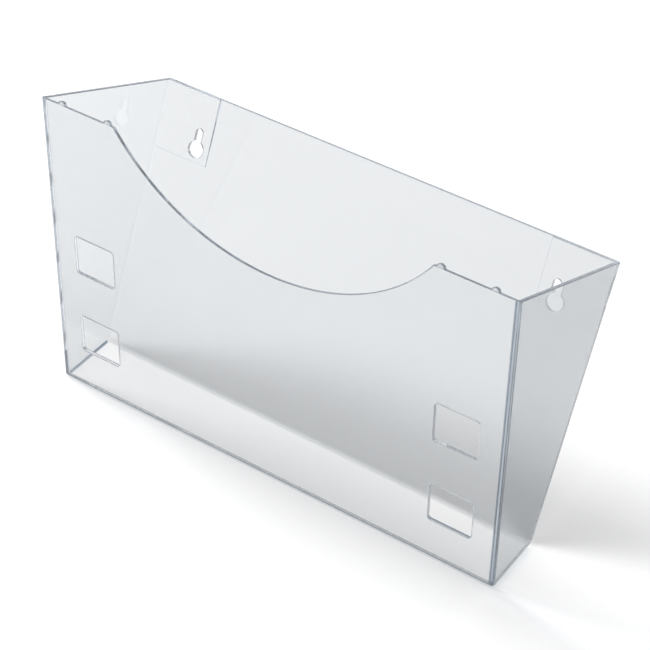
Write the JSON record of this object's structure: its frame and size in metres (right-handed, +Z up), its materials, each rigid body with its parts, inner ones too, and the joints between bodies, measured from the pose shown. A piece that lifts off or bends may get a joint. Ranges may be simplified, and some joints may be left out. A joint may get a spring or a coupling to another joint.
{
  "type": "magazine rack",
  "caption": "Clear wedge-shaped wall rack for magazines laid landscape, with an open top, a rounded dip in its front rim, windows in its front and keyholes in its back.",
  "frame": {"origin": "middle of the rack's bounding box at its base, with the rack standing on its floor panel", "axes": "+X to the right as seen from the front, +Y towards the back, +Z up with the front panel upright; the back panel leans 24.4 degrees from +Z towards +Y"},
  "size_m": [0.315, 0.1172, 0.2137],
  "materials": {
    "clear_plastic": "clear colourless crystal polystyrene, glossy, faintly blue-grey along its edges"
  },
  "bodies": {
    "root": {"front_panel": "clear_plastic", "back_panel": "clear_plastic", "floor_panel": "clear_plastic", "left_side_panel": "clear_plastic", "right_side_panel": "clear_plastic", "left_hanger_pad": "clear_plastic", "right_hanger_pad": "clear_plastic", "rim_nibs": "clear_plastic"}
  },
  "joints": []
}
